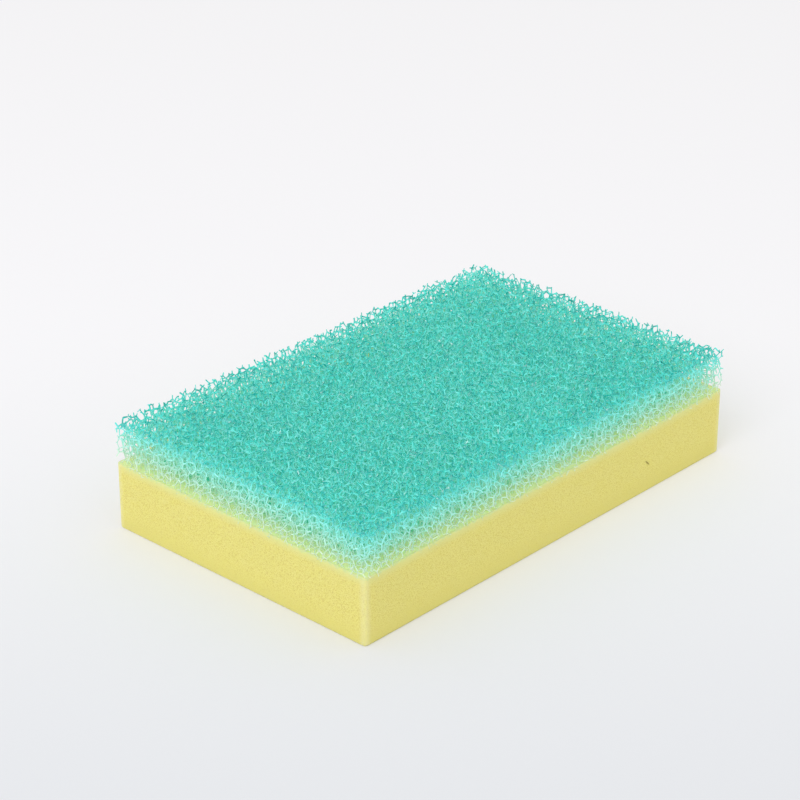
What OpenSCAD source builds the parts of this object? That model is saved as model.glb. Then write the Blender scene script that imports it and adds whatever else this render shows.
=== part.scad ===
// Two-layer cleaning sponge: a fine-celled soft foam block with an open-celled scouring layer on it.
// Millimetres. The origin is the middle of the underside. X runs along the length and Z points up.

/* [Block] */
// Length of the sponge, along X
sponge_l = 115; // [95:1:130]
// Width of the sponge, along Y
sponge_w = 72; // [60:1:85]
// Radius of the four upright corners
corner_r = 0.8; // [0.5:0.1:4]

/* [Soft foam] */
// Thickness of the soft foam block
soft_h = 15.5; // [10:0.5:30]
// Rounding of the edge that lies on the table
foot_r = 0.5; // [0.3:0.1:1.5]

/* [Scouring layer] */
// Thickness of the scouring layer, up to the tips of its cut struts
scourer_h = 10; // [6:0.5:14]
// Distance between neighbouring strut tips; six of them ring each cut-open cell
tip_pitch = 1.7; // [1.6:0.05:3]
// Depth of a cell that the top cut leaves open
top_cell_depth = 2.6; // [1:0.1:3.2]
// Depth of a cell that a side cut leaves open
side_cell_depth = 1.9; // [0.5:0.1:2.5]
// Depth of a notch where a cell is cut open along an edge of the top
notch_depth = 1; // [0.3:0.1:1]
// Most that a strut tip falls short of the cut face
tip_drop = 0.6; // [0.1:0.05:0.8]
// Most that a strut tip wanders sideways from its regular place
tip_wander = 0.36; // [0:0.02:0.44]

/* [Hidden] */

// The cut face is laid out as brick rows of points at the corners of near equal-sided triangles.
row_pitch = tip_pitch * sqrt(3) / 2;
nx = round(sponge_l / tip_pitch);
ny = round(sponge_w / row_pitch);
nz = round(scourer_h / row_pitch);
dx = sponge_l / nx;
dy = sponge_w / ny;
dz = scourer_h / nz;
scourer_top = soft_h + scourer_h;
// Sides to a full circle
round_fn = 48;

// Points round the outline, counted from the corner at low X and low Y
ring_n = 2 * (nx + ny);
side_n = nz * ring_n;
top_n = (nx + 1) * (ny + 1);

// Alternate rows shift this share of a step each way, so that the triangles come out near equal-sided.
brick_share = 0.25;
// Points of a row, or of the outline, in one repeat of the pattern
repeat_n = 3;
// A cell's depth varies between this share and the whole of its full depth.
shallow_share = 0.6;
// No point sinks further than this share of its distance from the next cut face.
edge_share = 0.85;
// Least distance of a point from an edge of the top that it doesn't lie on
edge_room = min((1 - brick_share) * dx, dy, dz) - tip_wander;
// Where the radius of an upright corner is centred, from the middle of the block
arc_x = sponge_l / 2 - corner_r;
arc_y = sponge_w / 2 - corner_r;

// Random shares from 0 to 1, three to a point: two for its wander and one for its depth
side_random = rands(0, 1, 3 * side_n, 11);
top_random = rands(0, 1, 3 * top_n, 23);

// Whether point i of row j is the bottom of a cut-open cell: its six neighbours then are strut tips.
function is_cell(i, j) = (i + 2 * (1 + j % 2)) % repeat_n == 0;
// Whether a point on the outline of the top is a notch
function is_notch(i, j) = (i + j) % repeat_n == 1 && !is_corner(i, j);
// Whether a column and row of the top make one of its four corners
function is_corner(i, j) = (i == 0 || i == nx) && (j == 0 || j == ny);

// How far a point lies under its cut face for a random share r: the bottom of a cell of depth full, or a
// strut tip
function sunk(cell, full, r) = cell ? full * (shallow_share + (1 - shallow_share) * r) : tip_drop * r;

// Shift of row j along itself, and sideways wander for a random share r
function brick(j) = (j % 2 == 0 ? -brick_share : brick_share) * tip_pitch;
function wander(r) = tip_wander * (2 * r - 1);

// Column and row on the top face of outline point p, and the way along the axis that p is counted there
function ring_column(p) =
    p < nx ? p : p < nx + ny ? nx : p < 2 * nx + ny ? 2 * nx + ny - p : 0;
function ring_row(p) =
    p < nx ? 0 : p < nx + ny ? p - nx : p < 2 * nx + ny ? ny : ring_n - p;
function ring_way(p) = p < nx + ny ? 1 : -1;

// Inward direction on one axis of point i of 0 to n
function inward(i, n) = i == 0 ? 1 : i == n ? -1 : 0;

// A point of the square-cornered block, drawn in where it lies in an upright corner, so that the square
// outline falls on the corner's arc
function rounded(x, y, z) =
    let (u = abs(x) - arc_x,
         v = abs(y) - arc_y,
         s = u > 0 && v > 0 ? max(u, v) / norm([u, v]) : 1)
    s == 1 ? [x, y, z] : [sign(x) * (arc_x + s * u), sign(y) * (arc_y + s * v), z];

// A point inside the top face
function inner_point(i, j) =
    let (r = 3 * (j * (nx + 1) + i),
         x = i * dx - sponge_l / 2 + brick(j) + wander(top_random[r]),
         y = j * dy - sponge_w / 2 + wander(top_random[r + 1]),
         room = edge_share * min(sponge_l / 2 - abs(x), sponge_w / 2 - abs(y)),
         down = min(sunk(is_cell(i, j), top_cell_depth, top_random[r + 2]), room))
    rounded(x, y, scourer_top - down);

// A point on the edge between the top face and the sides, which sinks down and inwards alike
function edge_point(i, j) =
    let (r = top_random[3 * (j * (nx + 1) + i) + 2],
         down = min(sunk(is_notch(i, j), notch_depth, r), edge_share * edge_room),
         x = i * dx - sponge_l / 2 + inward(i, nx) * down,
         y = j * dy - sponge_w / 2 + inward(j, ny) * down)
    rounded(x, y, scourer_top - down);

function top_point(i, j) = i == 0 || i == nx || j == 0 || j == ny ? edge_point(i, j) : inner_point(i, j);

// A point of a side face at outline point p, in row k up from the soft foam
function side_point(p, k) =
    let (i = ring_column(p),
         j = ring_row(p),
         r = 3 * (k * ring_n + p),
         z = k == 0 ? 0 : k * dz + wander(side_random[r + 1]))
    is_corner(i, j) ? upright_point(i, j, z, side_random[r + 2])
                    : face_point(i, j, p, k, z, side_random[r], side_random[r + 2]);

// A point on an upright corner, at height z above the soft foam
function upright_point(i, j, z, r) =
    let (x = i * dx - sponge_l / 2 + inward(i, nx) * tip_drop * r,
         y = j * dy - sponge_w / 2 + inward(j, ny) * tip_drop * r)
    rounded(x, y, soft_h + z);

// A point between the corners of a side face, at height z above the soft foam
function face_point(i, j, p, k, z, along_r, depth_r) =
    let (along_x = j == 0 || j == ny,
         step = ring_way(p) * brick(k) + wander(along_r),
         x = i * dx - sponge_l / 2 + (along_x ? step : 0),
         y = j * dy - sponge_w / 2 + (along_x ? 0 : step),
         to_corner = along_x ? sponge_l / 2 - abs(x) : sponge_w / 2 - abs(y),
         room = edge_share * min(scourer_h - z, to_corner),
         back = min(sunk(is_cell(p, k), side_cell_depth, depth_r), room))
    rounded(x + inward(i, nx) * back, y + inward(j, ny) * back, soft_h + z);

// Number of outline point p in row k; the top row is the outline of the top face
function side_index(p, k) =
    let (q = p % ring_n)
    k < nz ? k * ring_n + q : top_index(ring_column(q), ring_row(q));
function top_index(i, j) = side_n + j * (nx + 1) + i;

// Two triangles of the four-sided patch a, b, c, d, split along the short diagonal of its row
function patch(a, b, c, d, row) = row % 2 == 0 ? [[a, d, b], [b, d, c]] : [[a, c, b], [a, d, c]];

// Fine-celled block: upright corners rounded in plan, foot edges rounded in both elevations
module soft_foam() {
    color([0.90, 0.86, 0.52])
        intersection() {
            linear_extrude(height = soft_h)
                rounded_plan();
            translate([0, sponge_w / 2, 0])
                rotate([90, 0, 0])
                    linear_extrude(height = sponge_w)
                        footed_profile(sponge_l);
            translate([-sponge_l / 2, 0, 0])
                rotate([90, 0, 90])
                    linear_extrude(height = sponge_l)
                        footed_profile(sponge_w);
        }
}

// Outline of the block from above
module rounded_plan() {
    square([sponge_l, sponge_w - 2 * corner_r], center = true);
    square([sponge_l - 2 * corner_r, sponge_w], center = true);
    for (sx = [-1, 1], sy = [-1, 1])
        translate([sx * arc_x, sy * arc_y])
            circle(r = corner_r, $fn = round_fn);
}

// Elevation of the block: square at the seam, rounded at the foot
module footed_profile(w) {
    translate([-w / 2, foot_r])
        square([w, soft_h - foot_r]);
    translate([-w / 2 + foot_r, 0])
        square([w - 2 * foot_r, soft_h]);
    for (s = [-1, 1])
        translate([s * (w / 2 - foot_r), foot_r])
            circle(r = foot_r, $fn = round_fn);
}

// Open-celled layer: one closed skin whose top and sides are rings of strut tips round cut-open cells,
// on a flat underside that lies on the soft foam
module scourer_foam() {
    points = concat(
        [for (k = [0 : nz - 1]) for (p = [0 : ring_n - 1]) side_point(p, k)],
        [for (j = [0 : ny]) for (i = [0 : nx]) top_point(i, j)]
    );
    side_faces = [
        for (k = [0 : nz - 1])
            for (p = [0 : ring_n - 1])
                each patch(side_index(p, k), side_index(p + 1, k),
                           side_index(p + 1, k + 1), side_index(p, k + 1), k)
    ];
    top_faces = [
        for (j = [0 : ny - 1])
            for (i = [0 : nx - 1])
                each patch(top_index(i, j), top_index(i + 1, j),
                           top_index(i + 1, j + 1), top_index(i, j + 1), j)
    ];
    underside = [[for (p = [0 : ring_n - 1]) p]];
    color([0.31, 0.80, 0.71])
        polyhedron(points = points, faces = concat(side_faces, top_faces, underside), convexity = 10);
}

soft_foam();
scourer_foam();
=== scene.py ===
"""Cleaning sponge: a fine-celled soft foam block under an open-celled scouring net.

The net is a lattice of thin struts. Geometry Nodes repeat, turn, merge, warp and scatter a unit of foam
cells, and StrutSkin cuts the wires to the block and gives every strut its three-cornered skin.
"""

import itertools
import logging
import math
from dataclasses import dataclass, field
from enum import Enum

import bpy
import numpy as np
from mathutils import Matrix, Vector


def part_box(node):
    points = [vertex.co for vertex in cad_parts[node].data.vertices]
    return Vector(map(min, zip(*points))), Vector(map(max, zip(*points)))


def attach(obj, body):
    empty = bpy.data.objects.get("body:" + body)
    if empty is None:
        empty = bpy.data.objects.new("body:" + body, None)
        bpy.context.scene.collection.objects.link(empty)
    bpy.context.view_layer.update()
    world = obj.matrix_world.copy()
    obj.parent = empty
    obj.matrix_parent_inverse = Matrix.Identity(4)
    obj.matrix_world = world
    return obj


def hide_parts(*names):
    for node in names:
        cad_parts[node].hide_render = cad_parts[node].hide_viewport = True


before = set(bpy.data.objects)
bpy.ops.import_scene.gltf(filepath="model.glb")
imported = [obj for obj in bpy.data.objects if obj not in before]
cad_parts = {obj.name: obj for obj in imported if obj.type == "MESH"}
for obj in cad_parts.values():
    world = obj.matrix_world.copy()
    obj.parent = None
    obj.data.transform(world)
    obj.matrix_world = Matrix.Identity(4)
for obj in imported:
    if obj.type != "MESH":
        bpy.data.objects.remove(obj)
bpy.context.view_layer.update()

log = logging.getLogger("sponge")

MM = 0.001
BODY = "root"
MAP_NAME = "OFBake"
MAP_START = 0.4
MAP_SHARE = 0.2
Array = np.ndarray
Socket = bpy.types.NodeSocket
TINY = 1e-12


class Layer(Enum):
    """The two layers of the sponge, by the names of their CAD nodes."""

    SOFT = "soft_foam"
    SCOURER = "scourer_foam"


class Wrapped:
    """A shader value that Python's own signs can be used on."""

    def __init__(self, shader: "ShaderTree", source: Socket | float) -> None:
        """Wrap a socket or a number of a shader tree."""
        self.shader = shader
        self.source = source

    def __add__(self, other: "Wrapped | float") -> "Wrapped":
        """Sum."""
        return self.shader.maths("ADD", self, other)

    def __radd__(self, other: float) -> "Wrapped":
        """Sum with the number first."""
        return self.shader.maths("ADD", other, self)

    def __sub__(self, other: "Wrapped | float") -> "Wrapped":
        """Difference."""
        return self.shader.maths("SUBTRACT", self, other)

    def __rsub__(self, other: float) -> "Wrapped":
        """Difference with the number first."""
        return self.shader.maths("SUBTRACT", other, self)

    def __mul__(self, other: "Wrapped | float") -> "Wrapped":
        """Product."""
        return self.shader.maths("MULTIPLY", self, other)

    def __rmul__(self, other: float) -> "Wrapped":
        """Product with the number first."""
        return self.shader.maths("MULTIPLY", other, self)

    def __truediv__(self, other: "Wrapped | float") -> "Wrapped":
        """Quotient."""
        return self.shader.maths("DIVIDE", self, other)

    def __rtruediv__(self, other: float) -> "Wrapped":
        """Quotient with the number first."""
        return self.shader.maths("DIVIDE", other, self)

    def __abs__(self) -> "Wrapped":
        """Size without the sign."""
        return self.shader.maths("ABSOLUTE", self)

    def clamped(self) -> "Wrapped":
        """The value kept between nought and one."""
        return self.shader.add("ShaderNodeClamp", {}, {"Value": self})

    def ramped(self, low: float, high: float) -> "Wrapped":
        """A smooth step that is nought at low and one at high."""
        return self.shader.add(
            "ShaderNodeMapRange",
            {"interpolation_type": "SMOOTHSTEP"},
            {"Value": self, "From Min": low, "From Max": high},
        )


def new_node(tree: bpy.types.NodeTree, kind: str, settings: dict, inputs: dict) -> bpy.types.Node:
    """Add a node to a tree.

    Args:
        tree: the tree.
        kind: the node's type.
        settings: its properties, set first.
        inputs: socket name or number to value, colour or link.

    Returns:
        The node.
    """
    node = tree.nodes.new(kind)
    for name, value in settings.items():
        setattr(node, name, value)
    for key, value in inputs.items():
        if isinstance(value, Wrapped):
            value = value.source
        if isinstance(value, Socket):
            tree.links.new(value, node.inputs[key])
        else:
            node.inputs[key].default_value = value
    return node


class ShaderTree:
    """One material's node tree, written as expressions."""

    def __init__(self, name: str) -> None:
        """Start an empty material of that name."""
        self.material = bpy.data.materials.new(name)
        self.material.use_nodes = True
        self.tree = self.material.node_tree
        self.tree.nodes.clear()

    def add(self, kind: str, settings: dict, inputs: dict, output: str | int = 0) -> Wrapped:
        """Add a node as new_node does, and return the output that is wanted, wrapped."""
        return Wrapped(self, new_node(self.tree, kind, settings, inputs).outputs[output])

    def maths(self, operation: str, *values: Wrapped | float) -> Wrapped:
        """Add a Math node and return its result."""
        return self.add("ShaderNodeMath", {"operation": operation}, dict(enumerate(values)))

    def blend(self, factor: Wrapped | float, first: object, second: object) -> Wrapped:
        """Mix two colours.

        Args:
            factor: share of the second colour.
            first: colour or link at nought.
            second: colour or link at one.

        Returns:
            The mixed colour.
        """
        return self.add("ShaderNodeMix", {"data_type": "RGBA"}, {0: factor, 6: first, 7: second}, 2)

    def axis(self, place: Wrapped, number: int) -> Wrapped:
        """One coordinate of a place, by its number."""
        return self.add("ShaderNodeSeparateXYZ", {}, {0: place}, number)

    def noise(self, place: Wrapped, size: float, detail: float) -> Wrapped:
        """Noise from nought to one, in spots of about that size."""
        return self.add("ShaderNodeTexNoise", {}, {"Vector": place, "Scale": 1 / size, "Detail": detail})

    def finish(self, surface: Wrapped) -> bpy.types.Material:
        """Link a shader to the material's output and return the material."""
        output = self.tree.nodes.new("ShaderNodeOutputMaterial")
        self.tree.links.new(surface.source, output.inputs["Surface"])
        return self.material


def srgb(red: int, green: int, blue: int) -> tuple[float, float, float, float]:
    """A colour as the eye reads it, in 0 to 255, turned into the linear values that shaders use."""

    def linear(value: int) -> float:
        """One channel."""
        share = value / 255
        return share / 12.92 if share <= 0.04045 else ((share + 0.055) / 1.055) ** 2.4

    return (linear(red), linear(green), linear(blue), 1.0)


@dataclass(frozen=True)
class NetFinish:
    """Finish of the struts: pale foam, teal towards the top, with a darker crust on the cut tips and a few
    painted glints, which are painted highlights.

    A faint glow stands for the light that the struts pass on to each other from inside.
    """

    bare: tuple = (0.65, 0.73, 0.5, 1.0)
    coat: tuple = (0.22, 0.92, 0.88, 1.0)
    crust: tuple = srgb(100, 237, 226)
    dark_crust: tuple = srgb(34, 176, 168)
    dark_from: float = 0.25
    dark_to: float = 0.75
    glow: tuple = (0.1, 0.13, 0.125, 1.0)
    coat_glow: tuple = (0.002, 0.017, 0.016, 1.0)
    glow_strength: float = 1.0
    painted_glint: tuple = srgb(225, 255, 250)
    fade_from: float = 0.0
    fade_to: float = 0.95
    crust_from: float = 0.8
    crust_to: float = 0.98
    painted_glint_from: float = 0.72
    roughness: float = 0.25
    specular: float = 0.5

    def material(self) -> bpy.types.Material:
        """Build the material, which reads tone and height from the piece's own map."""
        shader = ShaderTree("scouring_net")
        place = shader.add("ShaderNodeUVMap", {"uv_map": MAP_NAME}, {})
        tone, height = ((shader.axis(place, number) - MAP_START) / MAP_SHARE for number in (0, 1))
        coated = ((height - self.fade_from) / (self.fade_to - self.fade_from)).clamped()
        colour = shader.blend(coated, self.bare, self.coat)
        teal = shader.blend(tone.ramped(self.dark_from, self.dark_to), self.crust, self.dark_crust)
        # Corners of the highest tone are painted near white: a painted glint, a highlight in the base colour.
        teal = shader.blend(tone.ramped(self.painted_glint_from, 1), teal, self.painted_glint)
        colour = shader.blend(height.ramped(self.crust_from, self.crust_to), colour, teal)
        surface = shader.add(
            "ShaderNodeBsdfPrincipled",
            {},
            {
                "Base Color": colour,
                "Roughness": self.roughness,
                "Specular IOR Level": self.specular,
                "Emission Color": shader.blend(coated, self.glow, self.coat_glow),
                "Emission Strength": self.glow_strength,
            },
        )
        return shader.finish(surface)


@dataclass(frozen=True)
class SoftFinish:
    """Finish of the soft foam: matte, pale yellow, with fine cells. Its paler upright edges are a painted
    highlight;
    the pale green tint near the seam, the band round the top and the teal far under the net are painted
    light;
    its darker foot is painted shade.

    A faint glow under the net stands for the light that comes up through the foam from its sides. The long
    front face has one small dark mark, placed by its X and Z.
    """

    body: tuple = srgb(239, 231, 143)
    cell: tuple = srgb(222, 210, 109)
    pore: tuple = srgb(206, 186, 92)
    seam: tuple = srgb(228, 227, 150)
    painted_rim_light: tuple = srgb(212, 224, 158)
    painted_under_net_light: tuple = srgb(110, 210, 180)
    painted_edge_light: tuple = srgb(232, 227, 172)
    cell_size: float = 0.22 * MM
    cell_ramp: tuple = (0.2, 0.9)
    pore_size: float = 0.3 * MM
    pore_ramp: tuple = (0.6, 0.75)
    pore_share: float = 0.55
    painted_seam_light_zone: float = 2.6 * MM
    painted_rim_light_zone: float = 0.7 * MM
    painted_rim_light_past_share: float = 0.2
    rim_spot: float = 1.1 * MM
    rim_spread: float = 1.6 * MM
    edge_zone: float = 2.0 * MM
    painted_edge_light_core_share: float = 0.3
    painted_edge_light_share: float = 0.45
    foot: tuple = srgb(227, 217, 124)
    painted_foot_shade_zone: float = 7.0 * MM
    painted_foot_shade_share: float = 0.8
    dark_mark: tuple = srgb(168, 154, 72)
    dark_mark_place: tuple = (31.3 * MM, 7.0 * MM)
    dark_mark_length: float = 2.2 * MM
    dark_mark_width: float = 0.5 * MM
    dark_mark_slant: float = math.radians(-43)
    dark_mark_ramp: tuple = (0.35, 1.1)
    dark_mark_depths: tuple = (0.5 * MM, 0.6 * MM)
    roughness: float = 0.9
    scatter: float = 0.5
    scatter_radius: tuple = (1.0, 0.9, 0.35)
    scatter_scale: float = 3.0 * MM
    glow: tuple = (0.14, 0.15, 0.09, 1.0)
    inner_glow: tuple = (0.02, 0.1, 0.085, 1.0)
    inner_core_share: float = 0.4
    glow_reach: float = 8.0 * MM
    top_skin: float = 0.02 * MM
    lip_zone: float = 0.9 * MM

    def material(self, low: Vector, high: Vector) -> bpy.types.Material:
        """Build the material, which reads the piece's own coordinates.

        Args:
            low: lowest corner of the block.
            high: highest corner of the block.

        Returns:
            The finished material.
        """
        shader = ShaderTree("soft_yellow_foam")
        place = shader.add("ShaderNodeTexCoord", {}, {}, "Object")
        x, y, z = (shader.axis(place, number) for number in range(3))
        cells = shader.add(
            "ShaderNodeTexVoronoi",
            {"feature": "F1"},
            {"Vector": place, "Scale": 1 / self.cell_size},
            "Distance",
        )
        colour = shader.blend(cells.ramped(*self.cell_ramp), self.body, self.cell)
        pores = shader.noise(place, self.pore_size, 0.0).ramped(*self.pore_ramp)
        colour = shader.blend(pores * self.pore_share, colour, self.pore)
        # The foam is painted darker towards its foot: painted shade.
        above_foot = z.ramped(low[2], low[2] + self.painted_foot_shade_zone)
        colour = shader.blend((1 - above_foot) * self.painted_foot_shade_share, colour, self.foot)
        # Near the seam the foam is painted paler and greener: painted light that comes through the net.
        colour = shader.blend(z.ramped(high[2] - self.painted_seam_light_zone, high[2]), colour, self.seam)
        from_x, from_y = high[0] - abs(x), high[1] - abs(y)
        # The upright corner edges are painted paler: a painted highlight.
        from_corner = shader.maths("MAXIMUM", from_x, from_y)
        from_corner = from_corner.ramped(self.painted_edge_light_core_share * self.edge_zone, self.edge_zone)
        colour = shader.blend((1 - from_corner) * self.painted_edge_light_share, colour, self.painted_edge_light)
        ragged = (shader.noise(place, self.rim_spot, 1.0) - 0.5) * self.rim_spread
        # A ragged pale green band along the top of the sides and over the top face: painted light from the
        # teal net.
        painted_rim_light_end = high[2] + self.painted_rim_light_past_share * self.painted_rim_light_zone
        colour = shader.blend((z + ragged).ramped(high[2] - self.painted_rim_light_zone, painted_rim_light_end), colour, self.painted_rim_light)
        # One small dark slanted mark, on the skin of the long front face only.
        under_skin = y.ramped(*(low[1] + depth for depth in self.dark_mark_depths))
        colour = shader.blend(self.dark_mark_mask(x, z) * (1 - under_skin), colour, self.dark_mark)
        from_side = shader.maths("MINIMUM", from_x, from_y)
        # Far in from the sides the block is painted teal: painted light, the net's teal light and shade on
        # the top face.
        inside = from_side.ramped(self.inner_core_share * self.glow_reach, self.glow_reach)
        colour = shader.blend(inside, colour, self.painted_under_net_light)
        on_top = z.ramped(high[2] - self.top_skin, high[2]) * (from_side + ragged).ramped(0, self.lip_zone)
        glow = shader.blend(inside, self.glow, self.inner_glow)
        surface = shader.add(
            "ShaderNodeBsdfPrincipled",
            {},
            {
                "Base Color": colour,
                "Roughness": self.roughness,
                "Subsurface Weight": self.scatter,
                "Subsurface Radius": self.scatter_radius,
                "Subsurface Scale": self.scatter_scale,
                "Emission Color": shader.blend(on_top, (0, 0, 0, 1), glow),
                "Emission Strength": 1.0,
            },
        )
        return shader.finish(surface)

    def dark_mark_mask(self, x: Wrapped, z: Wrapped) -> Wrapped:
        """Mark the slanted oval of the dark mark, seen along Y.

        Args:
            x: place along the block.
            z: height.

        Returns:
            1 in the middle of the dark mark and 0 outside it.
        """
        east = x - self.dark_mark_place[0]
        north = z - self.dark_mark_place[1]
        level, steep = math.cos(self.dark_mark_slant), math.sin(self.dark_mark_slant)
        along = (east * level + north * steep) * (2 / self.dark_mark_length)
        across = (north * level - east * steep) * (2 / self.dark_mark_width)
        return 1 - (along * along + across * across).ramped(*self.dark_mark_ramp)


class NodeGraph:
    """A Geometry Nodes tree, built node by node."""

    def __init__(self, name: str) -> None:
        """Start a tree with a geometry input and output."""
        self.tree = bpy.data.node_groups.new(name, "GeometryNodeTree")
        for way in ("INPUT", "OUTPUT"):
            self.tree.interface.new_socket("Geometry", in_out=way, socket_type="NodeSocketGeometry")
        self.start = self.tree.nodes.new("NodeGroupInput")
        self.values: dict[str, object] = {}

    def named(self, name: str, kind: str, value: object) -> Socket:
        """Add a named input of the tree.

        Args:
            name: the input's name.
            kind: its socket type, without NodeSocket.
            value: what the modifier gives it.

        Returns:
            The input's socket inside the tree.
        """
        item = self.tree.interface.new_socket(name, in_out="INPUT", socket_type=f"NodeSocket{kind}")
        self.values[item.identifier] = value
        return self.start.outputs[name]

    def add(self, kind: str, settings: dict, inputs: dict, output: int = 0) -> Socket:
        """Add a node as new_node does, and return the output that is wanted."""
        return new_node(self.tree, kind, settings, inputs).outputs[output]

    def maths(self, operation: str, *values: Socket | float) -> Socket:
        """Add a Math node and return its result."""
        return self.add("ShaderNodeMath", {"operation": operation}, dict(enumerate(values)))

    def vector(self, operation: str, first: Socket | tuple, second: Socket | tuple) -> Socket:
        """Add a Vector Math node and return its vector result."""
        return self.add("ShaderNodeVectorMath", {"operation": operation}, {0: first, 1: second})

    def scaled(self, vector: Socket, factor: Socket) -> Socket:
        """Add a Vector Math node that scales a vector, and return its result."""
        return self.add("ShaderNodeVectorMath", {"operation": "SCALE"}, {0: vector, "Scale": factor})

    def axis(self, vector: Socket, number: int) -> Socket:
        """One coordinate of a vector, by its number."""
        return self.add("ShaderNodeSeparateXYZ", {}, {0: vector}, number)

    def run(self, carrier: bpy.types.Object, result: Socket) -> bpy.types.Mesh:
        """Evaluate the tree on an object.

        Args:
            carrier: object that takes the modifier.
            result: geometry that the tree gives out.

        Returns:
            The result as a plain mesh. The modifier and the tree are gone.
        """
        end = self.tree.nodes.new("NodeGroupOutput")
        self.tree.links.new(result, end.inputs["Geometry"])
        modifier = carrier.modifiers.new("nodes", "NODES")
        modifier.node_group = self.tree
        for identifier, value in self.values.items():
            modifier[identifier] = value
        ready = bpy.context.evaluated_depsgraph_get()
        mesh = bpy.data.meshes.new_from_object(carrier.evaluated_get(ready))
        carrier.modifiers.remove(modifier)
        bpy.data.node_groups.remove(self.tree)
        return mesh


def linked(name: str, data: bpy.types.ID) -> bpy.types.Object:
    """A new object of that name, in the scene."""
    thing = bpy.data.objects.new(name, data)
    bpy.context.scene.collection.objects.link(thing)
    return thing


@dataclass(frozen=True)
class FoamUnit:
    """The cubic unit of an open-celled foam: two small and six large cells that share their struts.

    Nodes lie on three families of places, given as shares of the unit's side.
    """

    ring: float = 0.1835
    reach: float = 0.3080
    rise: float = 0.1173
    longest_strut: float = 0.28

    def places(self) -> Array:
        """The 46 node places in one unit, as shares of its side."""
        found = set()
        x, y, z = self.ring, self.reach, self.rise
        for turn in range(3):
            for sign_a in (1, -1):
                found.add(self._turned((0.25 * sign_a, 0.0, 0.5), turn))
                for sign_b in (1, -1):
                    found.add(self._turned((0.0, sign_a * y, sign_b * z), turn))
                    found.add(self._turned((0.5, 0.5 + sign_a * z, 0.5 + sign_b * y), turn))
        for a, b, c in itertools.product((1, -1), repeat=3):
            found.add(self._turned((a * x, b * x, c * x), 0))
            found.add(self._turned((0.5 + a * x, 0.5 + b * x, 0.5 + c * x), 0))
        return np.array(sorted(found))

    @staticmethod
    def _turned(place: tuple, turn: int) -> tuple:
        """A place with its axes passed round, brought into the unit."""
        return tuple(round(place[(axis - turn) % 3] % 1.0, 6) for axis in range(3))

    def mesh(self) -> bpy.types.Mesh:
        """The unit's nodes and struts as a wire mesh, with struts that reach into the next unit."""
        places = self.places()
        points, wires = [tuple(p) for p in places], []
        for step in itertools.product((-1, 0, 1), repeat=3):
            gap = places[None, :, :] + np.array(step) - places[:, None, :]
            near = np.linalg.norm(gap, axis=2) < self.longest_strut
            for i, j in zip(*np.nonzero(near)):
                if step == (0, 0, 0) and i < j:
                    wires.append((i, j))
                elif step > (0, 0, 0):
                    points.append(tuple(places[j] + np.array(step)))
                    wires.append((i, len(points) - 1))
        mesh = bpy.data.meshes.new("foam_unit")
        mesh.from_pydata(points, [tuple(int(v) for v in w) for w in wires], [])
        return mesh


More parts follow.
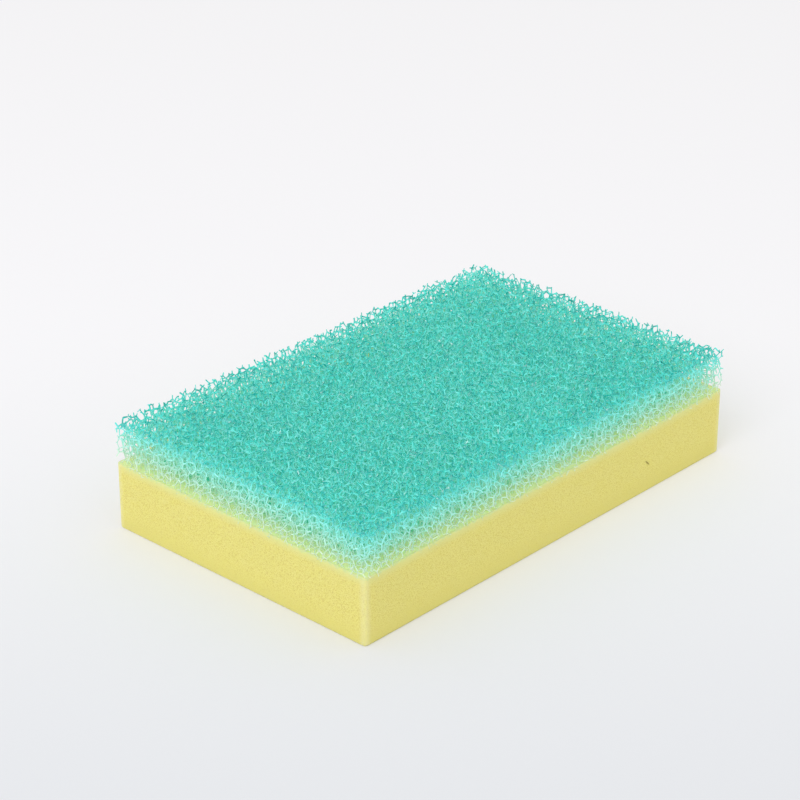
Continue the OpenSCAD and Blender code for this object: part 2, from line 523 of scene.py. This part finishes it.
@dataclass
class CellLattice:
    """Wires of the whole net before it is cut: the foam unit repeated, turned, warped and scattered.

    Cells stand taller than wide at the seam, and less so towards the top.
    """

    low: Vector
    high: Vector
    unit_side: float = 3.7 * MM
    seam_stretch: float = 1.5
    top_stretch: float = 1.35
    turn: tuple = (0.76, 0.34, 1.09)
    seam_scatter: float = 0.12 * MM
    top_scatter: float = 0.24 * MM
    warp: float = 2.4 * MM
    warp_length: float = 5.5 * MM
    margin_units: float = 1.4
    merge_share: float = 0.02
    seed: int = 7

    def wires(self, material: bpy.types.Material) -> tuple[Array, Array]:
        """Build the lattice with Geometry Nodes.

        Args:
            material: finish that the tree sets on its result.

        Returns:
            Places of the nodes, and pairs of node numbers, one for each strut.
        """
        unit = linked("foam_unit", FoamUnit().mesh())
        carrier = linked("lattice", bpy.data.meshes.new("lattice"))
        graph = NodeGraph("open_celled_lattice")
        mesh = graph.run(carrier, self._grown(graph, unit, material))
        places = np.empty(len(mesh.vertices) * 3)
        mesh.vertices.foreach_get("co", places)
        pairs = np.empty(len(mesh.edges) * 2, dtype=np.int32)
        mesh.edges.foreach_get("vertices", pairs)
        for thing in (unit, carrier):
            data = thing.data
            bpy.data.objects.remove(thing)
            bpy.data.meshes.remove(data)
        bpy.data.meshes.remove(mesh)
        return places.reshape(-1, 3), pairs.reshape(-1, 2)

    @property
    def reach(self) -> Vector:
        """Half of the room that the net takes up, before the cells are drawn taller."""
        return (self.high - self.low) / 2

    def _drawn_taller(self, graph: NodeGraph, level: Socket) -> Socket:
        """Turn an even height over the middle of the lattice into one of the block.

        Args:
            graph: the tree.
            level: height over the lattice's middle.

        Returns:
            The height over the seam.
        """
        fall = (self.seam_stretch - self.top_stretch) / (2 * self.reach[2])
        middle = math.log(self.seam_stretch / self.top_stretch) / fall / 2
        power = graph.maths("MULTIPLY", graph.maths("ADD", level, middle), -fall)
        rest = graph.maths("SUBTRACT", 1.0, graph.maths("EXPONENT", power))
        return graph.maths("MULTIPLY", rest, self.seam_stretch / fall)

    def _counts(self) -> int:
        """Units along each axis that cover the block at any turn."""
        return 2 * math.ceil(self.reach.length / self.unit_side) + 1

    def _grown(self, graph: NodeGraph, unit: bpy.types.Object, material: bpy.types.Material) -> Socket:
        """Lay out the nodes of the tree and return its last geometry."""
        side = graph.named("Unit side", "Float", self.unit_side)
        count = graph.named("Units each way", "Int", self._counts())
        seam_scatter = graph.named("Scatter at the seam", "Float", self.seam_scatter)
        top_scatter = graph.named("Scatter at the top", "Float", self.top_scatter)
        warp = graph.named("Warp", "Float", self.warp)
        seed = graph.named("Seed", "Int", self.seed)
        source = graph.named("Unit", "Object", unit)
        finish = graph.named("Finish", "Material", material)

        merged = self._repeated(graph, side, count, source)
        shift = self._shift(graph, warp, seed, seam_scatter, top_scatter)
        loose = graph.add("GeometryNodeSetPosition", {}, {"Geometry": merged, "Offset": shift})
        here = graph.add("GeometryNodeInputPosition", {}, {})
        x, y, level = (graph.axis(here, number) for number in range(3))
        tall = graph.add("ShaderNodeCombineXYZ", {}, {0: x, 1: y, 2: self._drawn_taller(graph, level)})
        middle = (self.low + self.high) / 2
        moved = graph.vector("ADD", tall, (middle[0], middle[1], self.low[2]))
        stood = graph.add("GeometryNodeSetPosition", {}, {"Geometry": loose, "Position": moved})
        real = graph.add("GeometryNodeRealizeInstances", {}, {"Geometry": stood})
        return graph.add("GeometryNodeSetMaterial", {}, {"Geometry": real, "Material": finish})

    def _repeated(self, graph: NodeGraph, side: Socket, count: Socket, source: Socket) -> Socket:
        """Set turned copies of the unit side by side, where the block can need them, and merge them.

        Args:
            graph: the tree.
            side: side of a unit.
            count: units along each axis.
            source: object that holds the unit.

        Returns:
            The merged wires, round the middle of the lattice.
        """
        number = graph.add("GeometryNodeInputIndex", {}, {})
        layer = graph.maths("MULTIPLY", count, count)
        step_x = graph.maths("MODULO", number, count)
        step_y = graph.maths("MODULO", graph.maths("FLOOR", graph.maths("DIVIDE", number, count)), count)
        step_z = graph.maths("FLOOR", graph.maths("DIVIDE", number, layer))
        half = graph.maths("DIVIDE", count, 2.0)
        steps = [graph.maths("SUBTRACT", step, half) for step in (step_x, step_y, step_z)]
        place = graph.scaled(graph.add("ShaderNodeCombineXYZ", {}, dict(enumerate(steps))), side)
        turned = graph.add(
            "ShaderNodeVectorRotate", {"rotation_type": "EULER_XYZ"}, {"Vector": place, "Rotation": self.turn}
        )
        total = graph.maths("MULTIPLY", layer, count)
        points = graph.add("GeometryNodePoints", {}, {"Count": total, "Position": turned})
        points = self._kept_near(graph, points)
        wire = graph.add("GeometryNodeObjectInfo", {}, {"Object": source}, 4)
        turn = graph.add("FunctionNodeEulerToRotation", {}, {0: self.turn})
        copies = graph.add(
            "GeometryNodeInstanceOnPoints",
            {},
            {"Points": points, "Instance": wire, "Rotation": turn, "Scale": side},
        )
        net = graph.add("GeometryNodeRealizeInstances", {}, {"Geometry": copies})
        close = self.merge_share * self.unit_side
        return graph.add("GeometryNodeMergeByDistance", {}, {"Geometry": net, "Distance": close})

    def _kept_near(self, graph: NodeGraph, points: Socket) -> Socket:
        """Delete the points that lie too far from the middle for the block to need them."""
        margin = self.reach + Vector((1, 1, 1)) * self.margin_units * self.unit_side
        here = graph.add("GeometryNodeInputPosition", {}, {})
        over = [
            graph.maths("GREATER_THAN", graph.maths("ABSOLUTE", graph.axis(here, axis)), margin[axis])
            for axis in range(3)
        ]
        any_over = graph.maths("MAXIMUM", graph.maths("MAXIMUM", over[0], over[1]), over[2])
        return graph.add("GeometryNodeDeleteGeometry", {}, {"Geometry": points, "Selection": any_over})

    def _shift(self, graph: NodeGraph, warp: Socket, seed: Socket, at_seam: Socket, at_top: Socket) -> Socket:
        """Shift each node by a wave that its neighbours share, and by a little of its own.

        Args:
            graph: the tree.
            warp: size of the wave.
            seed: seed of the node's own shift.
            at_seam: most that the node's own shift comes to on each axis at the seam.
            at_top: the same at the top.

        Returns:
            The whole shift.
        """
        here = graph.add("GeometryNodeInputPosition", {}, {})
        inputs = {"Vector": here, "Scale": 1 / self.warp_length}
        wave = graph.add("ShaderNodeTexNoise", {"noise_dimensions": "3D"}, inputs, 1)
        wave = graph.scaled(graph.vector("SUBTRACT", wave, (0.5, 0.5, 0.5)), warp)
        inputs = {0: (-1, -1, -1), 1: (1, 1, 1), "Seed": seed}
        own = graph.add("FunctionNodeRandomValue", {"data_type": "FLOAT_VECTOR"}, inputs)
        inputs = {
            "Value": graph.axis(here, 2),
            "From Min": -self.reach[2],
            "From Max": self.reach[2],
            "To Min": at_seam,
            "To Max": at_top,
        }
        most = graph.add("ShaderNodeMapRange", {}, inputs)
        return graph.vector("ADD", wave, graph.scaled(own, most))


@dataclass
class CutBlock:
    """The rounded block that the net is cut to."""

    low: Vector
    high: Vector
    corner: float = 1.0 * MM
    halvings: int = 24

    def depth(self, places: Array) -> Array:
        """How far places lie under the nearest cut face, negative outside.

        Args:
            places: points, one a row.

        Returns:
            A depth for each point, in metres.
        """
        from_ends = np.minimum(self.high[2] - places[:, 2], places[:, 2] - self.low[2])
        return np.minimum(self.from_sides(places), from_ends)

    def from_sides(self, places: Array) -> Array:
        """How far places lie inside the nearest side face, negative outside."""
        low, high = np.array(self.low), np.array(self.high)
        centre, half = (low + high) / 2, (high - low) / 2
        past = np.abs(places[:, :2] - centre[:2]) - (half[:2] - self.corner)
        outside = np.linalg.norm(np.maximum(past, 0), axis=1)
        return self.corner - outside - np.minimum(past.max(axis=1), 0)

    def crossing(self, inner: Array, outer: Array) -> Array:
        """Where lines from inside to outside meet the cut face, as shares of each line."""
        near, far = np.zeros(len(inner)), np.ones(len(inner))
        for _ in range(self.halvings):
            middle = (near + far) / 2
            inside = self.depth(inner + (outer - inner) * middle[:, None]) > 0
            near, far = np.where(inside, middle, near), np.where(inside, far, middle)
        return near


# The corners that each of a node's four struts starts from: all but the one opposite it
RING = np.array([[corner for corner in range(4) if corner != strut] for strut in range(4)])


def unit(rows: Array) -> Array:
    """Vectors of length one along the last axis."""
    return rows / np.maximum(np.linalg.norm(rows, axis=-1, keepdims=True), TINY)


@dataclass
class Shell:
    """Points and triangles as they are collected, with the slice that owns each triangle."""

    points: list = field(default_factory=list)
    tones: list = field(default_factory=list)
    triangles: list = field(default_factory=list)
    owners: list = field(default_factory=list)
    count: int = 0

    def add_points(self, points: Array, tones: Array) -> Array:
        """Store points.

        Args:
            points: places, in any layout of rows of three.
            tones: a tone for each.

        Returns:
            Their numbers, in the same layout.
        """
        numbers = self.count + np.arange(tones.size).reshape(tones.shape)
        self.points.append(points.reshape(-1, 3))
        self.tones.append(tones.reshape(-1))
        self.count += tones.size
        return numbers

    def add_triangles(self, corners: Array, owner: Array) -> None:
        """Store triangles, one a row, with the slice that owns each."""
        self.triangles.append(corners)
        self.owners.append(owner)

    def add_tube(self, near: Array, far: Array, owner: Array) -> None:
        """Store the three sides between two rings of three points."""
        for side in range(3):
            after = (side + 1) % 3
            self.add_triangles(np.stack([near[:, side], near[:, after], far[:, after]], axis=1), owner)
            self.add_triangles(np.stack([near[:, side], far[:, after], far[:, side]], axis=1), owner)


@dataclass
class NetNodes:
    """The nodes of the cut net, one a row, each with its four struts."""

    place: Array
    way: Array
    length: Array
    link: Array
    radius: Array
    owner: Array
    corners: Array
    tone: Array
    number: Array


@dataclass
class StrutSkin:
    """Skin of the cut net. A node has four corners, each opposite one strut and shared by the other three."""

    places: Array
    wires: Array
    block: CutBlock
    seam: float
    slices: int = 6
    seed: int = 19
    thin: float = 0.12 * MM
    thick: float = 0.195 * MM
    full_coat_height: float = 0.85
    thickness_spread: float = 0.2
    cut_depth: float = 0.2 * MM
    shortest_stub: float = 0.2 * MM
    shortest_stub_share: float = 0.5
    lost_stub_share: float = 0.3
    taper: float = 0.85
    tone_step: float = 0.3
    inner_coat: float = 0.78
    inner_from: float = 3.0 * MM
    inner_to: float = 8.0 * MM
    front_coat: float = 0.12
    front_reach: float = 12.0 * MM

    def meshes(self) -> list[bpy.types.Mesh]:
        """Build the skin.

        Returns:
            One mesh for each slice along the length.
        """
        rng = np.random.default_rng(self.seed)
        shell = Shell()
        nodes = self._nodes(shell, rng)
        self._join_nodes(shell, nodes)
        self._cut_ends(shell, nodes, rng)
        return self._split(shell)

    def height(self, place: Array) -> Array:
        """Height over the seam as a share of the layer."""
        return (place[..., 2] - self.seam) / (self.block.high[2] - self.seam)

    def coat(self, place: Array) -> Array:
        """The height that the coat is read from: never low far inside the net, and more along the front."""
        inner = (self.block.from_sides(place) - self.inner_from) / (self.inner_to - self.inner_from)
        front = 1 - (place[..., 1] - self.block.low[1]) / self.front_reach
        height = self.height(place)
        more = self.front_coat * np.clip(front, 0, 1) * np.clip(4 * height * (1 - height), 0, 1)
        return np.maximum(height + more, self.inner_coat * np.clip(inner, 0, 1))

    def _nodes(self, shell: Shell, rng: np.random.Generator) -> NetNodes:
        """Keep the nodes in the block and store the corners of each."""
        near, whole = self._neighbours()
        kept = np.nonzero(self._joined(whole & (self.block.depth(self.places) > self.cut_depth)))[0]
        number = np.full(len(self.places), -1)
        number[kept] = np.arange(len(kept))
        place, near = self.places[kept], near[kept]
        way = self.places[near] - place[:, None, :]
        length = np.linalg.norm(way, axis=2)
        way = unit(way)
        coat = np.clip(self.height(place) / self.full_coat_height, 0, 1)
        spread = 1 + rng.uniform(-self.thickness_spread, self.thickness_spread, len(place))
        radius = (self.thin + (self.thick - self.thin) * coat) * spread
        corners = place[:, None, :] - radius[:, None, None] * way
        tone = rng.uniform(self.tone_step, 1 - self.tone_step, len(place))
        share = (place[:, 0] - self.block.low[0]) / (self.block.high[0] - self.block.low[0])
        owner = np.clip((share * self.slices).astype(int), 0, self.slices - 1)
        ids = shell.add_points(corners, self._tones(tone, 4, rng))
        return NetNodes(place, way, length, number[near], radius, owner, corners, tone, ids)

    def _tones(self, tone: Array, count: int, rng: np.random.Generator) -> Array:
        """Tones of the points round a node, which differ a little."""
        return tone[:, None] + rng.uniform(-self.tone_step, self.tone_step, (len(tone), count))

    def _neighbours(self) -> tuple[Array, Array]:
        """Four neighbours of each node, four numbers a row, and whether a node has all four."""
        ends = np.concatenate([self.wires, self.wires[:, ::-1]])
        ends = ends[np.argsort(ends[:, 0], kind="stable")]
        degree = np.bincount(ends[:, 0], minlength=len(self.places))
        first = np.concatenate([[0], np.cumsum(degree)[:-1]])
        rows = np.minimum(first[:, None] + np.arange(4)[None, :], len(ends) - 1)
        return ends[rows, 1], degree == 4

    def _joined(self, inside: Array) -> Array:
        """Of the nodes that are inside, those that hang together with the most others."""
        one, other = self.wires[inside[self.wires].all(axis=1)].T
        group = np.arange(len(inside))
        while True:
            low = np.minimum(group[one], group[other])
            lower = group.copy()
            np.minimum.at(lower, one, low)
            np.minimum.at(lower, other, low)
            lower = lower[lower]
            if (lower == group).all():
                break
            group = lower
        return inside & (group == np.bincount(group[inside]).argmax())

    @staticmethod
    def _start(nodes: NetNodes, row: Array, slot: Array, axis: Array) -> Array:
        """A direction square to each strut, towards the first corner of its ring."""
        out = nodes.corners[row, RING[slot, 0]] - nodes.place[row]
        return unit(out - (out * axis).sum(1, keepdims=True) * axis)

    @staticmethod
    def _ring(
        nodes: NetNodes, row: Array, slot: Array, axis: Array, start: Array
    ) -> tuple[Array, Array, Array]:
        """The three corners that a strut starts from, in order round its axis.

        Args:
            nodes: all nodes.
            row: node that each strut starts from.
            slot: which of the node's four struts it is.
            axis: direction to turn round.
            start: direction to count angles from.

        Returns:
            Point numbers, angles, and places as seen from the node.
        """
        used = RING[slot]
        out = nodes.corners[row[:, None], used] - nodes.place[row][:, None, :]
        side = np.cross(axis, start)
        angle = np.arctan2((out * side[:, None, :]).sum(2), (out * start[:, None, :]).sum(2))
        order = np.argsort(angle, axis=1)
        ids = np.take_along_axis(nodes.number[row[:, None], used], order, 1)
        return ids, np.take_along_axis(angle, order, 1), np.take_along_axis(out, order[..., None], 1)

    def _join_nodes(self, shell: Shell, nodes: NetNodes) -> None:
        """Skin the struts that run from node to node."""
        row, slot = np.nonzero(nodes.link > np.arange(len(nodes.link))[:, None])
        far = nodes.link[row, slot]
        far_slot = (nodes.link[far] == row[:, None]).argmax(axis=1)
        axis = nodes.way[row, slot]
        start = self._start(nodes, row, slot, axis)
        near_ids, near_angle, _ = self._ring(nodes, row, slot, axis, start)
        far_ids, far_angle, _ = self._ring(nodes, far, far_slot, axis, start)
        gaps = [1 - np.cos(near_angle - np.roll(far_angle, -shift, axis=1)) for shift in range(3)]
        best = np.argmin(np.stack(gaps, axis=2).sum(axis=1), axis=1)
        far_ids = np.take_along_axis(far_ids, (np.arange(3)[None, :] + best[:, None]) % 3, 1)
        shell.add_tube(near_ids, far_ids, nodes.owner[row])
        apart = nodes.owner[row] != nodes.owner[far]
        shell.add_triangles(far_ids[apart], nodes.owner[row][apart])
        shell.add_triangles(far_ids[apart][:, ::-1], nodes.owner[far][apart])

    def _cut_ends(self, shell: Shell, nodes: NetNodes, rng: np.random.Generator) -> None:
        """Skin the struts that end at the cut face, and close the nodes where one has broken off."""
        row, slot = np.nonzero(nodes.link < 0)
        axis, place, owner = nodes.way[row, slot], nodes.place[row], nodes.owner[row]
        reach = nodes.length[row, slot]
        reach = reach * self.block.crossing(place, place + axis * reach[:, None])
        rooted = place[:, 2] + axis[:, 2] * reach < self.seam
        reach = reach * np.where(rooted, 1, rng.uniform(self.shortest_stub_share, 1.0, len(row)))
        start = self._start(nodes, row, slot, axis)
        ring, _, out = self._ring(nodes, row, slot, axis, start)
        broken = ~rooted & (rng.random(len(row)) < self.lost_stub_share * self.height(place))
        lost = broken | (reach < np.maximum(self.shortest_stub, nodes.radius[row]))
        shell.add_triangles(ring[lost], owner[lost])
        kept = ~lost
        axis, reach, out = axis[kept], reach[kept], out[kept]
        flat = out - (out * axis[:, None, :]).sum(2, keepdims=True) * axis[:, None, :]
        tip = place[kept] + axis * reach[:, None]
        tones = self._tones(nodes.tone[row[kept]], 3, rng)
        ends = shell.add_points(tip[:, None, :] + flat * self.taper, tones)
        shell.add_tube(ring[kept], ends, owner[kept])
        shell.add_triangles(ends, owner[kept])

    def _split(self, shell: Shell) -> list[bpy.types.Mesh]:
        """Make one mesh of each slice, with tone and height in its map."""
        parts = (shell.points, shell.tones, shell.triangles, shell.owners)
        points, tones, triangles, owners = (np.concatenate(part) for part in parts)
        found = []
        for owner in range(self.slices):
            used, corners = np.unique(triangles[owners == owner], return_inverse=True)
            corners = corners.reshape(-1, 3)
            mesh = bpy.data.meshes.new(f"scourer_net_{owner + 1}")
            mesh.from_pydata(points[used].tolist(), [], corners.tolist())
            spots = np.stack([tones[used], self.coat(points[used])], axis=1)
            spots = MAP_START + MAP_SHARE * np.clip(spots, 0, 1)
            layer = mesh.uv_layers.new(name=MAP_NAME)
            layer.uv.foreach_set("vector", spots[corners.reshape(-1)].reshape(-1).astype(np.float32))
            found.append(mesh)
        return found


@dataclass
class Scourer:
    """The open-celled scouring layer, made in slices along its length."""

    low: Vector
    high: Vector
    sunk: float = 0.8 * MM
    overhang: float = 0.35 * MM
    fill: float = 0.9
    finish: NetFinish = NetFinish()

    def build(self) -> None:
        """Make the slices of the net and tie them to the frame."""
        material = self.finish.material()
        out = Vector((self.overhang, self.overhang, 0))
        block = CutBlock(self.low - out - Vector((0, 0, self.sunk)), self.high + out)
        lattice = CellLattice(self.low, self.high)
        places, wires = lattice.wires(material)
        skin = StrutSkin(places, wires, block, seam=self.low[2])
        for mesh in skin.meshes():
            mesh.materials.append(material)
            settle(linked(mesh.name, mesh), Layer.SCOURER)


@dataclass
class SoftFoam:
    """The thick block of fine-celled foam, with its foot and upright edges rounded."""

    low: Vector
    high: Vector
    corner: float = 0.8 * MM
    foot: float = 0.5 * MM
    lip: float = 0.15 * MM
    edge_zone: float = 2.4 * MM
    edge_cells: int = 8
    middle_cell: float = 1.6 * MM
    fill: float = 0.95
    finish: SoftFinish = SoftFinish()

    def build(self) -> None:
        """Make the block and tie it to the frame."""
        steps, faces = self._grid()
        points = self._rounded(steps)
        mesh = bpy.data.meshes.new("soft_block")
        mesh.from_pydata(points.tolist(), [], faces.tolist())
        mesh.shade_smooth()
        mesh.materials.append(self.finish.material(self.low, self.high))
        settle(linked("soft_block", mesh), Layer.SOFT)

    def _along(self, axis: int) -> Array:
        """Grid places along an axis, closer together near both ends."""
        size = self.high[axis] - self.low[axis]
        near = np.linspace(0, self.edge_zone, self.edge_cells, endpoint=False)
        middle = size - 2 * self.edge_zone
        across = np.linspace(self.edge_zone, size - self.edge_zone, round(middle / self.middle_cell) + 1)
        return self.low[axis] + np.concatenate([near, across, size - near[::-1]])

    def _grid(self) -> tuple[Array, Array]:
        """The six faces of the block as one welded grid.

        Returns:
            Points, and four-cornered faces that point outwards.
        """
        along = [self._along(axis) for axis in range(3)]
        faces = []
        for axis in range(3):
            u, v = (axis + 1) % 3, (axis + 2) % 3
            a, b = np.meshgrid(np.arange(len(along[u]) - 1), np.arange(len(along[v]) - 1), indexing="ij")
            for end in (0, len(along[axis]) - 1):
                corners = []
                for da, db in ((0, 0), (1, 0), (1, 1), (0, 1)):
                    corner = np.empty(a.shape + (3,), dtype=int)
                    corner[..., axis] = end
                    corner[..., u] = a + da
                    corner[..., v] = b + db
                    corners.append(corner)
                if end == 0:
                    corners.reverse()
                faces.append(np.stack(corners, axis=2).reshape(-1, 3))
        steps, numbers = np.unique(np.concatenate(faces), axis=0, return_inverse=True)
        points = np.stack([along[axis][steps[:, axis]] for axis in range(3)], axis=1)
        return points, numbers.reshape(-1, 4)

    def _rounded(self, points: Array) -> Array:
        """Draw the square-edged block in to its rounded corners and edges."""
        low, high = np.array(self.low), np.array(self.high)
        centre, half = (low + high) / 2, (high - low) / 2
        flat = points[:, :2] - centre[:2]
        past = np.abs(flat) - (half[:2] - self.corner)
        both = (past > 0).all(axis=1)
        draw = np.where(both, past.max(axis=1) / np.maximum(np.linalg.norm(past, axis=1), TINY), 1.0)
        past = np.where(both[:, None], past * draw[:, None], past)
        flat = np.sign(flat) * (past + half[:2] - self.corner)
        out = np.where(both[:, None], unit(past), (past == past.max(axis=1, keepdims=True)).astype(float))
        out *= np.sign(flat)
        inside = self.corner - np.where(both, np.linalg.norm(past, axis=1), past.max(axis=1))
        z = points[:, 2].copy()
        for radius, up, base in ((self.foot, 1, low[2]), (self.lip, -1, high[2])):
            a, b = radius - inside, radius - up * (z - base)
            near = (a > 0) & (b > 0)
            pull = np.where(near, np.maximum(a, b) / np.maximum(np.hypot(a, b), TINY), 1.0)
            flat = flat - out * (np.where(near, a - a * pull, 0))[:, None]
            z = np.where(near, base + up * (radius - b * pull), z)
        return np.column_stack([flat + centre[:2], z])


@dataclass
class Studio:
    """Pale floor, soft light and the camera."""

    target: tuple = (10.035 * MM, 17.5 * MM, 12.0 * MM)
    azimuth: float = math.radians(-47.119)
    elevation: float = math.radians(26.055)
    distance: float = 577.255 * MM
    lens: float = 116.3
    sensor_width: float = 36.0
    clip_start: float = 0.01
    world: float = 0.8
    world_colour: tuple = (1.0, 0.985, 0.93, 1.0)
    lamp_colour: tuple = (0.98, 1.0, 1.15)
    lamp_power: float = 8.5
    lamp_size: float = 1.1
    lamp_place: tuple = (-1.15, -0.45, 1.1)
    floor_size: float = 3.0
    near_colour: tuple = srgb(227, 230, 235)
    far_colour: tuple = srgb(251, 251, 255)
    near_reach: float = -0.2
    far_reach: float = 0.1
    shown_share: float = 0.2
    bounces: int = 24

    def build(self) -> None:
        """Set up the stage. Light may bounce often, because it finds its way deep into the net."""
        self._floor()
        self._world()
        self._lamp()
        self._camera()
        scene = bpy.context.scene
        scene.view_settings.view_transform = "Standard"
        scene.cycles.diffuse_bounces = self.bounces
        scene.cycles.max_bounces = self.bounces

    def _floor(self) -> None:
        """A wide plane at the foot of the sponge, which the camera sees partly at its own colour."""
        half = self.floor_size / 2
        mesh = bpy.data.meshes.new("floor")
        corners = [(-half, -half, 0), (half, -half, 0), (half, half, 0), (-half, half, 0)]
        mesh.from_pydata(corners, [], [(0, 1, 2, 3)])
        shader = ShaderTree("pale_floor")
        place = shader.add("ShaderNodeTexCoord", {}, {}, "Object")
        away = (-math.sin(self.azimuth), math.cos(self.azimuth), 0)
        reach = shader.add("ShaderNodeVectorMath", {"operation": "DOT_PRODUCT"}, {0: place, 1: away}, "Value")
        # The floor's colour runs from darker near the camera to paler far off: a painted falloff of light.
        farness = reach.ramped(self.near_reach, self.far_reach)
        colour = shader.blend(farness, self.near_colour, self.far_colour)
        matte = shader.add("ShaderNodeBsdfDiffuse", {}, {"Color": colour})
        shown = shader.add("ShaderNodeEmission", {}, {"Color": colour, "Strength": 1.0})
        rays = ("Is Camera Ray", "Is Glossy Ray", "Is Transmission Ray")
        seen = sum(shader.add("ShaderNodeLightPath", {}, {}, ray) for ray in rays).clamped()
        mixed = shader.add("ShaderNodeMixShader", {}, {0: seen * self.shown_share, 1: matte, 2: shown})
        mesh.materials.append(shader.finish(mixed))
        floor = linked("floor", mesh)

    def _world(self) -> None:
        """Even light from all round, a touch warmer than the lamp."""
        world = bpy.data.worlds.new("soft_studio")
        world.use_nodes = True
        inputs = world.node_tree.nodes["Background"].inputs
        inputs["Color"].default_value = self.world_colour
        inputs["Strength"].default_value = self.world
        bpy.context.scene.world = world

    def _lamp(self) -> None:
        """One large soft lamp from the upper left."""
        lamp = bpy.data.lights.new("softbox", "AREA")
        lamp.energy = self.lamp_power
        lamp.color = self.lamp_colour
        lamp.shape = "SQUARE"
        lamp.size = self.lamp_size
        holder = linked("softbox", lamp)
        holder.location = self.lamp_place
        holder.rotation_euler = (-Vector(self.lamp_place)).to_track_quat("-Z", "Y").to_euler()

    def _camera(self) -> None:
        """The camera, at the angle that shows the front corner and the top."""
        level = math.cos(self.elevation)
        back = Vector(
            (math.sin(self.azimuth) * level, -math.cos(self.azimuth) * level, math.sin(self.elevation))
        )
        lens = bpy.data.cameras.new("camera")
        lens.lens = self.lens
        lens.sensor_width = self.sensor_width
        lens.clip_start = self.clip_start
        camera = linked("camera", lens)
        camera.location = Vector(self.target) + back * self.distance
        camera.rotation_euler = (-back).to_track_quat("-Z", "Y").to_euler()
        bpy.context.scene.camera = camera


def settle(piece: bpy.types.Object, layer: Layer) -> None:
    """Tie a piece to the frame.

    Args:
        piece: the finished piece.
        layer: the layer of the sponge that it stands for.
    """
    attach(piece, BODY)
    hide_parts(layer.value)
    log.info("%s: %d faces", piece.name, len(piece.data.polygons))


def main() -> None:
    """Build the sponge and its stage."""
    logging.basicConfig(level=logging.INFO, format="%(name)s: %(message)s")
    soft_low, soft_high = (Vector(corner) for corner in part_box(Layer.SOFT.value))
    net_low, net_high = (Vector(corner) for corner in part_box(Layer.SCOURER.value))
    SoftFoam(soft_low, soft_high).build()
    Scourer(net_low, net_high).build()
    Studio().build()


if __name__ == "__main__":
    main()
